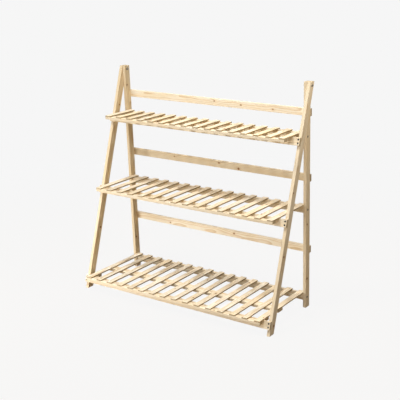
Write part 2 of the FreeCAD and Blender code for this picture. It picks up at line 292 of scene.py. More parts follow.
@dataclass(frozen=True)
class SpruceFinish:
    """Planed spruce, no varnish: matt, pale early wood with thin honey-brown late wood."""

    name: str = "spruce_planed"
    early: str = "#f7edda"
    late: str = "#d6b482"
    warm: str = "#eed6a9"
    blush: str = "#fff7e6"  # multiplied in on warmer boards
    knot: str = "#986538"
    knot_rim: str = "#6b4325"
    end: str = "#9c8355"  # sawn ends, browner because their cut fibres are open; on slats also painted shade on the narrow sides
    ring_mm: float = 2.6  # growth ring width of quick-grown spruce
    ring_stops: tuple[tuple[float, float], ...] = ((0.45, 0.12), (0.84, 1.0), (0.93, 1.0))
    ring_share: float = 0.62
    halo_share: float = 0.42
    # share of the end colour: real on sawn ends, painted shade on the slats' narrow sides
    end_and_side_shade_share: float = 0.7
    drift_mm: float = 16.0  # how far the pith line wanders over the board's length
    fibre_mm: float = 0.7  # fibre streaks, drawn about three times coarser than real ones to show
    roughness: float = 0.62

    @staticmethod
    def per_patch(long_mm: float, wide_mm: float) -> Triple:
        """Scale of a pattern with patches long_mm along the board and wide_mm across it."""
        return (1 / long_mm, 1 / wide_mm, 1 / wide_mm)

    def late_wood(
        self, tree: bpy.types.NodeTree, place: bpy.types.Node, knots: list[bpy.types.Node]
    ) -> bpy.types.Node:
        """Adds the growth rings round a wandering pith.

        Args:
            tree: The material's tree.
            place: The place on the board.
            knots: The knots that the rings bend round.

        Returns:
            A node that gives 1 in a ring's dark late wood and 0 in its early wood.
        """
        slow = add_node(tree, VECTOR, place, self.per_patch(240.0, 90.0), operation="MULTIPLY")
        wander = add_node(tree, NOISE, slow, named={"Scale": 1.0, "Detail": 2.0, "Roughness": 0.45})
        centred = add_node(
            tree, VECTOR, wander.outputs["Color"], (0.5, 0.5, 0.5), operation="SUBTRACT"
        )
        drift = add_node(
            tree, VECTOR, centred, (0.0, self.drift_mm, self.drift_mm), operation="MULTIPLY"
        )
        moved = add_node(tree, SPLIT, add_node(tree, VECTOR, place, drift, operation="ADD")).outputs
        bend = knots[0].outputs["Bend"]
        for knot in knots[1:]:
            bend = add_node(tree, MATH, bend, knot.outputs["Bend"], operation="ADD")
        bent = add_node(tree, MATH, moved[1], bend, operation="SUBTRACT")
        section = add_node(tree, JOIN, 0.0, bent, moved[2])
        radius = add_node(tree, VECTOR, section, operation="LENGTH").outputs["Value"]
        phase = add_node(tree, MATH, radius, self.ring_mm, operation="DIVIDE")
        late = add_node(tree, "ShaderNodeValToRGB", add_node(tree, MATH, phase, operation="FRACT"))
        stops = late.color_ramp.elements
        stops[0].color = stops[1].color = (0, 0, 0, 1)
        for at, level in self.ring_stops:
            stops.new(at).color = (level, level, level, 1)
        return late

    def colour(
        self,
        tree: bpy.types.NodeTree,
        place: bpy.types.Node,
        late: bpy.types.Node,
        knots: list[bpy.types.Node],
    ) -> bpy.types.NodeSocket:
        """Adds the wood's colour: early and late wood, knots, sawn ends with painted shade on the
        slats' narrow sides, and the board's blush.

        Args:
            tree: The material's tree.
            place: The place on the board.
            late: The late wood's share.
            knots: The knots.

        Returns:
            The output that carries the colour.
        """
        patch = add_node(tree, VECTOR, place, self.per_patch(150.0, 22.0), operation="MULTIPLY")
        cloud = add_node(tree, NOISE, patch, named={"Scale": 1.0, "Detail": 3.0, "Roughness": 0.5})
        # the end attribute is 1 on sawn ends and, on slats, painted shade on the narrow sides
        sawn = add_node(tree, ATTRIBUTE, attribute_name="end").outputs["Fac"]
        blush = add_node(tree, ATTRIBUTE, attribute_name="blush").outputs["Fac"]
        layers = [
            (add_node(tree, MATH, late, self.ring_share, operation="MULTIPLY"), self.late, "MIX")
        ]
        for knot in knots:
            tint = add_node(tree, MATH, knot.outputs["Halo"], self.halo_share, operation="MULTIPLY")
            layers += [
                (tint, self.late, "MIX"),
                (knot.outputs["Core"], self.knot, "MIX"),
                (knot.outputs["Rim"], self.knot_rim, "MIX"),
            ]
        # browner end colour: sawn ends, and painted shade on the slats' narrow sides
        layers.append(
            (add_node(tree, MATH, sawn, self.end_and_side_shade_share, operation="MULTIPLY"), self.end, "MIX")
        )
        layers.append((blush, self.blush, "MULTIPLY"))
        warmth = add_node(tree, REMAP, cloud, 0.36, 0.68, 0.0, 0.5)
        pale = {6: linear(self.early), 7: linear(self.warm)}
        mixed = add_node(tree, MIX, warmth, named=pale, data_type="RGBA")
        for share, shade, blend in layers:
            inputs = {6: mixed.outputs[2], 7: linear(shade)}
            mixed = add_node(tree, MIX, share, named=inputs, data_type="RGBA", blend_type=blend)
        return mixed.outputs[2]

    def material(self, knot_field: bpy.types.NodeTree) -> bpy.types.Material:
        """Builds the wood's material.

        Args:
            knot_field: The node group that draws knots.

        Returns:
            The material, which reads the board, shift, tone, blush, end and knot attributes.
        """
        material, tree = empty_material(self.name)
        board = add_node(tree, ATTRIBUTE, attribute_name="board").outputs["Vector"]
        shift = add_node(tree, ATTRIBUTE, attribute_name="shift").outputs["Vector"]
        tone = add_node(tree, ATTRIBUTE, attribute_name="tone").outputs["Fac"]
        place = add_node(tree, VECTOR, board, shift, operation="ADD")
        knots = []
        for layer in KNOT_LAYERS:
            spot = add_node(tree, ATTRIBUTE, attribute_name=layer).outputs["Vector"]
            inputs = {"Board": board, "Knot": spot}
            knots.append(add_node(tree, "ShaderNodeGroup", named=inputs, node_tree=knot_field))
        late = self.late_wood(tree, place, knots)
        colour = self.colour(tree, place, late, knots)
        fine = self.per_patch(26.0, self.fibre_mm)
        streak = add_node(tree, VECTOR, place, fine, operation="MULTIPLY")
        fibre = add_node(tree, NOISE, streak, named={"Scale": 1.0, "Detail": 3.0, "Roughness": 0.6})
        lift = add_node(tree, REMAP, fibre, 0.25, 0.75, 0.95, 1.05, clamp=False)
        level = add_node(tree, MATH, lift, tone, operation="MULTIPLY")
        shade = add_node(tree, VECTOR, colour, named={"Scale": level}, operation="SCALE")
        relief = add_node(tree, MATH, fibre, 0.6, late, operation="MULTIPLY_ADD")
        bump = add_node(
            tree, "ShaderNodeBump", named={"Strength": 0.22, "Distance": 0.00025, "Height": relief}
        )
        rough = add_node(tree, REMAP, fibre, 0.3, 0.7, self.roughness - 0.05, self.roughness + 0.07)
        inputs = {"IOR": 1.5, "Base Color": shade, "Roughness": rough, "Normal": bump}
        surface = add_node(tree, "ShaderNodeBsdfPrincipled", named=inputs)
        add_node(tree, "ShaderNodeOutputMaterial", surface)
        return material


@dataclass(frozen=True)
class SteelFinish:
    """Steel fasteners, blackened, burnished or zinc plated, with a fine mottled grain."""

    name: str
    base: str
    worn: str
    roughness: float
    grit_mm: float = 0.5

    def material(self) -> bpy.types.Material:
        """Builds the metal's material, patterned on Object coordinates.

        Returns:
            The material.
        """
        material, tree = empty_material(self.name)
        where = add_node(tree, "ShaderNodeTexCoord").outputs["Object"]
        grit = add_node(
            tree, NOISE, where, named={"Scale": 1.0 / (self.grit_mm * MM), "Detail": 3.0}
        )
        share = add_node(tree, REMAP, grit, 0.45, 0.75, 0.0, 1.0)
        shades = {6: linear(self.base), 7: linear(self.worn)}
        colour = add_node(tree, MIX, share, named=shades, data_type="RGBA").outputs[2]
        rough = add_node(tree, REMAP, grit, 0.3, 0.7, self.roughness - 0.06, self.roughness + 0.08)
        bump = add_node(
            tree, "ShaderNodeBump", named={"Strength": 0.1, "Distance": 0.00005, "Height": grit}
        )
        inputs = {"Metallic": 1.0, "Base Color": colour, "Roughness": rough, "Normal": bump}
        surface = add_node(tree, "ShaderNodeBsdfPrincipled", named=inputs)
        add_node(tree, "ShaderNodeOutputMaterial", surface)
        return material


@dataclass(frozen=True)
class Palette:
    """The finished materials that the pieces share."""

    spruce: bpy.types.Material
    screw_steel: bpy.types.Material
    bolt_steel: bpy.types.Material
    zinc_steel: bpy.types.Material
    pin_steel: bpy.types.Material

    @staticmethod
    def build() -> "Palette":
        """Builds every finish once.

        Returns:
            The palette.
        """
        return Palette(
            spruce=SpruceFinish().material(KnotField().group()),
            # oil-blackened heads: dark, with worn brown-grey patches
            screw_steel=SteelFinish("screw_blackened", "#3b3630", "#5a5248", 0.46).material(),
            # burnished steel: mid grey with a painted warm reflection of the wood round it
            bolt_steel=SteelFinish("bolt_burnished", "#7d7466", "#9c9282", 0.42).material(),
            # zinc plate: pale grey with a soft shine
            zinc_steel=SteelFinish("zinc_plate", "#978e80", "#b3aa9b", 0.44).material(),
            # plain drawn wire: pale, so that the pins hardly show in the slats
            pin_steel=SteelFinish("pin_bright", "#a39a8a", "#bdb5a6", 0.42).material(),
        )


# ---- boards ------------------------------------------------------------------------


@dataclass(frozen=True)
class Knot:
    """A knot on a board: millimetres along it, across it, and its half width."""

    along: float
    across: float
    size: float


NO_KNOT = Knot(-9000.0, 0.0, 0.1)  # far off the board


@dataclass(frozen=True)
class Look:
    """How one board's wood looks: how light and how warm it is, its grain's seed and its knots."""

    tone: float = 1.0
    blush: float = 0.3
    seed: int = 0
    knots: tuple[Knot, ...] = ()


@dataclass(frozen=True)
class Mouth:
    """A countersunk mouth: its place, the direction that it opens in, its radius and its depth."""

    spot: Vector
    outward: Vector
    radius: float
    depth: float


def cone(
    shape: bmesh.types.BMesh,
    sides: int,
    low: float,
    high: float,
    depth: float,
    place: Matrix | None = None,
) -> None:
    """Adds a closed cone or prism to a shape.

    Args:
        shape: The shape under work.
        sides: Faces round the axis.
        low: Radius at the bottom.
        high: Radius at the top.
        depth: Height.
        place: Where its middle goes, and its turn.
    """
    bmesh.ops.create_cone(
        shape,
        cap_ends=True,
        segments=sides,
        radius1=low,
        radius2=high,
        depth=depth,
        matrix=place or Matrix(),
    )


def cut_with(body: bmesh.types.BMesh, tool: bmesh.types.BMesh, name: str) -> bpy.types.Mesh:
    """Cuts one shape with another and frees both.

    Args:
        body: The shape to cut.
        tool: The cutter.
        name: Name of the new mesh.

    Returns:
        The cut mesh.
    """
    whole = linked(name, poured(body, name))
    cutter = linked(name + "_tool", poured(tool, name + "_tool"))
    cut = whole.modifiers.new("cut", "BOOLEAN")
    cut.operation, cut.solver, cut.object, cut.use_self = "DIFFERENCE", "EXACT", cutter, True
    result = evaluated_mesh(whole, name)
    for obj in (whole, cutter):
        mesh = obj.data
        bpy.data.objects.remove(obj)
        bpy.data.meshes.remove(mesh)
    return result


@dataclass
class Board:
    """A sawn and planed board given by its centre and its three unit directions."""

    name: str
    centre: Vector
    along: Vector
    across: Vector
    length: float
    width: float
    thick: float
    look: Look = Look()
    ease: float = 1.0 * MM
    rim_ease: float = 0.35 * MM
    level_ends: bool = False
    # how strongly the two narrow faces take the browner end colour as painted shade
    painted_side_shade: float = 0.0
    mouths: list[Mouth] = field(default_factory=list)
    mouth_lip: float = 0.25 * MM  # the straight wall above a mouth's cone
    mouth_sides: int = 24

    @property
    def through(self) -> Vector:
        """Direction of the board's thickness."""
        return self.along.cross(self.across).normalized()

    def place(self, a: float, w: float, t: float) -> Vector:
        """A point given in metres along, across and through the board from its centre."""
        return self.centre + self.along * a + self.across * w + self.through * t

    def blank(self) -> bmesh.types.BMesh:
        """Makes the board with eased edges and sawn ends.

        Returns:
            The board's shape, its ends square to it or, for legs, level with the floor.
        """
        shape = bmesh.new()
        corners = []
        for end in (-1, 1):
            for w, t in ((-1, -1), (1, -1), (1, 1), (-1, 1)):
                spot = self.place(end * self.length / 2, w * self.width / 2, t * self.thick / 2)
                if self.level_ends:
                    target = self.centre.z + end * self.length / 2 * self.along.z
                    spot += self.along * ((target - spot.z) / self.along.z)
                corners.append(shape.verts.new(spot))
        for ids in (
            (3, 2, 1, 0), (4, 5, 6, 7), (0, 1, 5, 4), (1, 2, 6, 5), (2, 3, 7, 6), (3, 0, 4, 7)
        ):
            shape.faces.new([corners[i] for i in ids])
        bmesh.ops.recalc_face_normals(shape, faces=shape.faces)
        long_edges = [
            edge
            for edge in shape.edges
            if abs((edge.verts[1].co - edge.verts[0].co).normalized().dot(self.along)) > 0.99
        ]
        bmesh.ops.bevel(
            shape, geom=long_edges, offset=self.ease, segments=3, profile=0.5, affect="EDGES"
        )
        rims = [
            edge
            for edge in shape.edges
            if len(edge.link_faces) == 2
            and abs(edge.link_faces[0].normal.dot(edge.link_faces[1].normal)) < 0.5
        ]
        bmesh.ops.bevel(
            shape, geom=rims, offset=self.rim_ease, segments=1, profile=0.5, affect="EDGES"
        )
        bmesh.ops.recalc_face_normals(shape, faces=shape.faces)
        return shape

    def object(self, wood: bpy.types.Material) -> bpy.types.Object:
        """Makes the finished board, drilled and with its grain attributes.

        Args:
            wood: Its material.

        Returns:
            The board as an object at the origin.
        """
        if self.mouths:
            mesh = cut_with(self.blank(), self.countersinks(), self.name)
        else:
            mesh = poured(self.blank(), self.name)
        self.mark(mesh)
        mesh.materials.clear()
        mesh.materials.append(wood)
        obj = linked(self.name, mesh)
        soften(obj)
        return obj

    def countersinks(self) -> bmesh.types.BMesh:
        """Makes the cutter of the mouths that the screw heads lie in.

        Returns:
            A cone under each mouth and a short cylinder that opens it, a hair into each other.
        """
        cutter = bmesh.new()
        rise, overlap = 2.0 * MM, 0.002 * MM
        for mouth in self.mouths:
            turn = mouth.outward.to_track_quat("Z", "Y").to_matrix().to_4x4()
            down = mouth.outward * (mouth.depth / 2 + self.mouth_lip)
            up = mouth.outward * (rise / 2 - self.mouth_lip - overlap)
            point = mouth.radius * 0.35
            sunk = Matrix.Translation(mouth.spot - down) @ turn
            raised = Matrix.Translation(mouth.spot + up) @ turn
            cone(cutter, self.mouth_sides, point, mouth.radius, mouth.depth, sunk)
            cone(cutter, self.mouth_sides, mouth.radius, mouth.radius, rise, raised)
        return cutter

    def mark(self, mesh: bpy.types.Mesh) -> None:
        """Writes the attributes that the wood's material reads, in the board's own millimetres."""
        rng = random.Random(self.look.seed)
        directions = (self.along, self.across, self.through)
        local = [
            (vertex.co - self.centre).dot(way) / MM
            for vertex in mesh.vertices
            for way in directions
        ]
        mesh.attributes.new("board", "FLOAT_VECTOR", "POINT").data.foreach_set("vector", local)
        # the pith lies outside the board, above or below it
        shift = (
            rng.uniform(0, 4000), rng.uniform(-26, 26), rng.choice((-1, 1)) * rng.uniform(24, 70)
        )
        knots = (*self.look.knots, NO_KNOT, NO_KNOT, NO_KNOT)
        vectors = {"shift": shift}
        for layer, knot in zip(KNOT_LAYERS, knots):
            vectors[layer] = (knot.along, knot.across, knot.size)
        count = len(mesh.vertices)
        for name, vector in vectors.items():
            mesh.attributes.new(name, "FLOAT_VECTOR", "POINT").data.foreach_set(
                "vector", list(vector) * count
            )
        for name, value in (("tone", self.look.tone), ("blush", self.look.blush)):
            mesh.attributes.new(name, "FLOAT", "POINT").data.foreach_set("value", [value] * count)
        # 1 on sawn ends; on the narrow faces, painted shade of the given strength
        sawn = []
        for face in mesh.polygons:
            narrow_face_shade = self.painted_side_shade if abs(face.normal.dot(self.across)) > 0.8 else 0.0
            sawn.append(1.0 if abs(face.normal.dot(self.along)) > 0.9 else narrow_face_shade)
        mesh.attributes.new("end", "FLOAT", "FACE").data.foreach_set("value", sawn)


def soften(obj: bpy.types.Object) -> None:
    """Shades a piece smooth with its large faces kept flat."""
    for polygon in obj.data.polygons:
        polygon.use_smooth = True
    weighted = obj.modifiers.new("flat_faces", "WEIGHTED_NORMAL")
    weighted.mode = "FACE_AREA"
    weighted.weight = 100
    weighted.keep_sharp = True


# ---- fasteners ---------------------------------------------------------------------


class Arranger:
    """A Geometry Nodes tree that puts copies of a piece on points, run on a host object."""

    def __init__(self, name: str, inputs: dict[str, str]) -> None:
        """Opens the tree.

        Args:
            name: Name of the tree.
            inputs: Names and kinds of its inputs after the geometry, one of them Finish.
        """
        self.tree = bpy.data.node_groups.new(name, "GeometryNodeTree")
        geometry = {"Geometry": "Geometry"}
        self.start, self.end = open_group(self.tree, {**geometry, **inputs}, geometry)

    def copies(self, points: object, source: str, **turn: object) -> bpy.types.Node:
        """Adds the nodes that put the object of an input on each point.

        Args:
            points: What gives the points.
            source: Name of the input that holds the object.
            turn: The copies' Rotation, where they have one.

        Returns:
            The node that gives the copies.
        """
        shape = add_node(
            self.tree,
            "GeometryNodeObjectInfo",
            named={"As Instance": True, "Object": self.start[source]},
        )
        feeds = {"Points": points, "Instance": shape.outputs["Geometry"], **turn}
        return add_node(self.tree, "GeometryNodeInstanceOnPoints", named=feeds)

    def close(self, flow: bpy.types.Node) -> None:
        """Makes the copies real and gives them the finish."""
        real = add_node(self.tree, "GeometryNodeRealizeInstances", flow)
        dressed = add_node(
            self.tree,
            "GeometryNodeSetMaterial",
            named={"Geometry": real, "Material": self.start["Finish"]},
        )
        self.tree.links.new(dressed.outputs[0], self.end[0])

    def run(self, name: str, points: bpy.types.Mesh, values: dict) -> bpy.types.Object:
        """Runs the tree once.

        Args:
            name: Name of the piece.
            points: The mesh that the tree starts from. It is removed.
            values: The tree's inputs by name.

        Returns:
            What the tree gives, as one plain object.
        """
        host = linked(name, points)
        modifier = host.modifiers.new(self.tree.name, "NODES")
        modifier.node_group = self.tree
        for item in self.tree.interface.items_tree:
            if item.in_out == "INPUT" and item.name in values:
                modifier[item.identifier] = values[item.name]
        mesh = evaluated_mesh(host, name)
        host.modifiers.clear()
        host.data = mesh
        bpy.data.meshes.remove(points)
        return host


class FastenerSet(Arranger):
    """Puts one fastener on each point, its head facing outwards and turned at random."""

    def __init__(self) -> None:
        """Builds the tree with its named inputs."""
        super().__init__(
            "fastener_set", {"Fastener": "Object", "Finish": "Material", "Seed": "Int"}
        )
        tree, start = self.tree, self.start
        outward = add_node(
            tree,
            "GeometryNodeInputNamedAttribute",
            named={"Name": "outward"},
            data_type="FLOAT_VECTOR",
        ).outputs["Attribute"]
        aim = add_node(
            tree, "FunctionNodeAlignRotationToVector", named={"Vector": outward}, axis="Z"
        )
        turn = add_node(
            tree, RANDOM, named={2: 0.0, 3: math.tau, "Seed": start["Seed"]}, data_type="FLOAT"
        )
        spin = add_node(
            tree,
            "FunctionNodeAxisAngleToRotation",
            named={"Axis": (0, 0, 1), "Angle": turn.outputs[1]},
        )
        turns = {"Rotation": aim, "Rotate By": spin}
        both = add_node(tree, "FunctionNodeRotateRotation", named=turns, rotation_space="LOCAL")
        self.close(self.copies(start["Geometry"], "Fastener", Rotation=both))

    def fit(
        self,
        node: str,
        body: str,
        slot: str,
        pattern: bpy.types.Mesh,
        spots: Spots,
        finish: bpy.types.Material,
        seed: int,
    ) -> None:
        """Puts a fastener on each spot as one piece that stands for a node.

        Args:
            node: The frame node.
            body: The body that the fasteners move with.
            slot: The record's material slot.
            pattern: The fastener's mesh, the seat or top of its head at Z = 0.
            spots: Head places, each with the direction that the head faces.
            finish: The metal.
            seed: Seed of the heads' turns.
        """
        name = node + "_set"
        points = bpy.data.meshes.new(name)
        points.from_pydata([tuple(spot) for spot, _ in spots], [], [])
        layer = points.attributes.new("outward", "FLOAT_VECTOR", "POINT")
        layer.data.foreach_set("vector", [c for _, outward in spots for c in outward])
        model = linked(name + "_pattern", pattern)
        piece = self.run(name, points, {"Fastener": model, "Finish": finish, "Seed": seed})
        bpy.data.objects.remove(model)
        for polygon in piece.data.polygons:
            polygon.use_smooth = False
        settle(piece, body, slot, node)


def lathe(profile: list[tuple[float, float]], steps: int) -> bmesh.types.BMesh:
    """Turns a profile about Z.

    Args:
        profile: Radius and height pairs from the axis at the top to the axis at the bottom.
        steps: Faces round the axis.

    Returns:
        A closed shape.
    """
    shape = bmesh.new()
    turns = [(math.cos(math.tau * i / steps), math.sin(math.tau * i / steps)) for i in range(steps)]
    rings = []
    for radius, height in profile:
        spots = [(radius * c, radius * s, height) for c, s in turns] if radius else [(0, 0, height)]
        rings.append([shape.verts.new(spot) for spot in spots])
    for upper, lower in zip(rings, rings[1:]):
        for i in range(steps):
            j = (i + 1) % steps
            if len(upper) == 1:
                shape.faces.new((upper[0], lower[i], lower[j]))
            elif len(lower) == 1:
                shape.faces.new((upper[i], lower[0], upper[j]))
            else:
                shape.faces.new((upper[i], lower[i], lower[j], upper[j]))
    bmesh.ops.recalc_face_normals(shape, faces=shape.faces)
    return shape


@dataclass(frozen=True)
class WoodScrew:
    """A countersunk wood screw with a cross recess."""

    head_radius: float = 3.9 * MM
    head_depth: float = 2.4 * MM
    shank_radius: float = 1.9 * MM
    length: float = 14.0 * MM
    recess_depth: float = 1.2 * MM
    sides: int = 28

    def mesh(self, name: str) -> bpy.types.Mesh:
        """Makes the screw, its head top at Z = 0.

        Args:
            name: Name of the mesh.

        Returns:
            The screw's mesh.
        """
        r, s = self.head_radius, self.shank_radius
        profile = [(0, 0.0), (r * 0.9, 0.0), (r, -0.15 * MM), (r, -0.4 * MM)]
        profile += [(s, -self.head_depth), (s, -self.length), (0, -self.length - s)]
        tool = bmesh.new()
        height = 2 * self.recess_depth
        slot_long, slot_wide = r * 1.12, r * 0.2
        for wide, deep in ((slot_long, slot_wide), (slot_wide, slot_long)):
            bmesh.ops.create_cube(tool, size=1.0, matrix=Matrix.Diagonal((wide, deep, height, 1.0)))
        cone(tool, 12, r * 0.12, r * 0.3, height, Matrix.Translation((0, 0, -0.4 * MM)))
        return cut_with(lathe(profile, self.sides), tool, name)


@dataclass(frozen=True)
class SlatPin:
    """A flat-headed pin that holds a slat to a rail; only its low crowned head shows."""

    head_radius: float = 1.3 * MM
    crown: float = 0.18 * MM
    sides: int = 12

    def mesh(self, name: str) -> bpy.types.Mesh:
        """Makes the pin's head and the top of its shank.

        Args:
            name: Name of the mesh.

        Returns:
            The pin's mesh.
        """
        r = self.head_radius
        profile = [(0, self.crown), (r * 0.6, self.crown * 0.85), (r, 0.02 * MM), (r, -0.5 * MM)]
        profile += [(r * 0.5, -0.6 * MM), (r * 0.5, -4.0 * MM), (0, -4.2 * MM)]
        return poured(lathe(profile, self.sides), name)


@dataclass(frozen=True)
class FoldBolt:
    """Button-head bolt with a hexagon socket, its washers and its nut."""

    radius: float = 3.0 * MM
    head_radius: float = 5.6 * MM
    head_height: float = 3.4 * MM
    washer_radius: float = 7.0 * MM
    washer_thick: float = 1.0 * MM
    nut_radius: float = 5.8 * MM
    nut_height: float = 5.0 * MM
    bore_gap: float = 0.05 * MM
    socket_depth: float = 1.6 * MM
    sides: int = 36

    def bolt_mesh(self, reach: float) -> bpy.types.Mesh:
        """Makes the bolt with its head's seat at Z = 0.

        Args:
            reach: Length of the shank below the head.

        Returns:
            The bolt's mesh.
        """
        r, h, s = self.head_radius, self.head_height, self.radius
        flat, dome_steps, chamfer = r * 0.52, 7, 0.5 * MM
        profile = [(0, h), (flat, h)]
        for step in range(1, dome_steps + 1):
            turn = step / dome_steps * math.pi / 2
            profile.append((flat + r * 0.48 * math.sin(turn), h * 0.3 + h * 0.7 * math.cos(turn)))
        profile += [(r, 0.0), (s, 0.0), (s, -reach + chamfer), (s - chamfer, -reach), (0, -reach)]
        tool = bmesh.new()
        height = 4.0 * MM
        lift = height / 2 - self.socket_depth
        cone(tool, 6, r * 0.42, r * 0.42, height, Matrix.Translation((0, 0, h + lift)))
        return cut_with(lathe(profile, self.sides), tool, "fold_bolt")

    def washer_mesh(self, thick: float) -> bpy.types.Mesh:
        """Makes a washer lying from Z = 0 down to -thick.

        Args:
            thick: Its thickness.

        Returns:
            The washer's mesh.
        """
        r, bore, edge = self.washer_radius, self.radius + self.bore_gap, 0.15 * MM
        tool = bmesh.new()
        cone(tool, self.sides, bore, bore, 4.0 * MM)
        body = lathe([(0, 0), (r - edge, 0), (r, -edge), (r, -thick), (0, -thick)], self.sides)
        return cut_with(body, tool, "fold_washer")

    def nut_mesh(self) -> bpy.types.Mesh:
        """Makes a hexagon nut with chamfered rims, lying from Z = 0 up.

        Returns:
            The nut's mesh.
        """
        r, h, bore = self.nut_radius, self.nut_height, self.radius + self.bore_gap
        body = bmesh.new()
        cone(body, 6, r, r, h, Matrix.Translation((0, 0, h / 2)))
        rims = [edge for edge in body.edges if abs(edge.verts[0].co.z - edge.verts[1].co.z) < 1e-6]
        bmesh.ops.bevel(body, geom=rims, offset=0.35 * MM, segments=1, affect="EDGES")
        tool = bmesh.new()
        cone(tool, 28, bore, bore, 4 * h)
        return cut_with(body, tool, "fold_nut")


# ---- sub-assemblies ----------------------------------------------------------------


@dataclass(frozen=True)
class LeaningFrame:
    """A pair of leaning legs with three boards screwed across them."""

    palette: Palette
    fasteners: FastenerSet
    body: str
    legs: str  # the legs' node names, less their side
    lean: float  # how far the legs' front edges move back over their height, in metres
    facing: int  # -1 where the boards' screwed faces look to the front, 1 to the back
    board_height: float
    screw_x: float  # where the boards' screws are, either side of the middle
    leg_width: float = 32.0 * MM
    board_thick: float = 12.0 * MM
    screw_spacing: float = 15.0 * MM
    screw: WoodScrew = WoodScrew()

    @property
    def turn(self) -> float:
        """Lean of the legs from upright, in radians."""
        low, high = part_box(self.legs + "left")
        return math.atan2(self.lean, high.z - low.z)

    @property
    def up(self) -> Vector:
        """Direction up the legs."""
        return Vector((0, math.sin(self.turn), math.cos(self.turn)))

    def leg(self, side: Side, look: Look, mouths: list[Mouth]) -> None:
        """Makes one leg, cut level at the floor and at its top.

        Args:
            side: Which leg.
            look: Its wood.
            mouths: Its countersunk mouths.
        """
        node = self.legs + side.name.lower()
        low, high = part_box(node)
        up = self.up
        board = Board(
            name=node.replace("_leg", "_leg_board"),
            centre=(low + high) / 2,
            along=up,
            across=Vector((0, up.z, -up.y)),
            length=(high.z - low.z) / math.cos(self.turn),
            width=self.leg_width,
            thick=high.x - low.x,
            look=look,
            level_ends=True,
            mouths=mouths,
        )
        settle(board.object(self.palette.spruce), self.body, "leg_wood", node)

    def cross_board(self, node: str, look: Look) -> Spots:
        """Makes one board across the legs, with countersunk mouths for its screws.

        Args:
            node: The frame node that it stands for.
            look: Its wood.

        Returns:
            Its screws' places and directions.
        """
        low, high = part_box(node)
        centre = (low + high) / 2
        up = self.up
        face = Vector((0, self.facing * up.z, -self.facing * up.y))
        spots = [
            centre
            + side.outward * self.screw_x
            + up * (step * self.screw_spacing)
            + face * (self.board_thick / 2)
            for side in Side
            for step in (-0.5, 0.5)
        ]
        mouth = self.screw.head_radius + HEAD_GAP
        board = Board(
            name=node + "_board",
            centre=centre,
            along=X_AXIS,
            across=up,
            length=high.x - low.x,
            width=self.board_height,
            thick=self.board_thick,
            look=look,
            mouths=[Mouth(spot, face, mouth, self.screw.head_depth) for spot in spots],
        )
        settle(board.object(self.palette.spruce), self.body, "board_wood", node)
        return [(spot - face * HEAD_GAP, face) for spot in spots]

    def cross_boards(self, kind: str, looks: dict[Tier, Look], seed: int) -> None:
        """Makes the boards across the legs and puts their screws in.

        Args:
            kind: The boards' node names, less their tier.
            looks: Their wood.
            seed: Seed of the screws' turns.
        """
        spots: Spots = []
        for tier, look in looks.items():
            spots += self.cross_board(f"{kind}_{tier.value}", look)
        node = kind + "_screws"
        pattern = self.screw.mesh(node + "_screw")
        self.fasteners.fit(
            node, self.body, "screw_steel", pattern, spots, self.palette.screw_steel, seed
        )


@dataclass(frozen=True)
class FrontFrame(LeaningFrame):
    """Front legs with the three crossbars that the shelves rest on."""

    body: str = "front_frame"
    legs: str = "front_leg_"
    lean: float = 0.295
    facing: int = -1
    board_height: float = 33.0 * MM
    screw_x: float = 473.0 * MM

    def build(self) -> None:
        """Builds the legs, the crossbars and their screws."""
        self.leg(Side.LEFT, Look(0.92, 0.9, 11, (Knot(-232, 4, 4.6), Knot(330, 6, 3.2))), [])
        right = (Knot(-192, -4, 4.6), Knot(-470, 5, 5.6), Knot(64, -8, 3.4))
        self.leg(Side.RIGHT, Look(0.92, 0.45, 12, right), [])
        looks = {
            Tier.UPPER: Look(0.92, 0.5, 21, (Knot(-215, 6, 4.0),)),
            Tier.MIDDLE: Look(0.98, 0.2, 22, (Knot(120, -5, 3.5),)),
            Tier.LOWER: Look(1.02, 0.3, 23, (Knot(260, 3, 4.5),)),
        }
        self.cross_boards("crossbar", looks, seed=5)


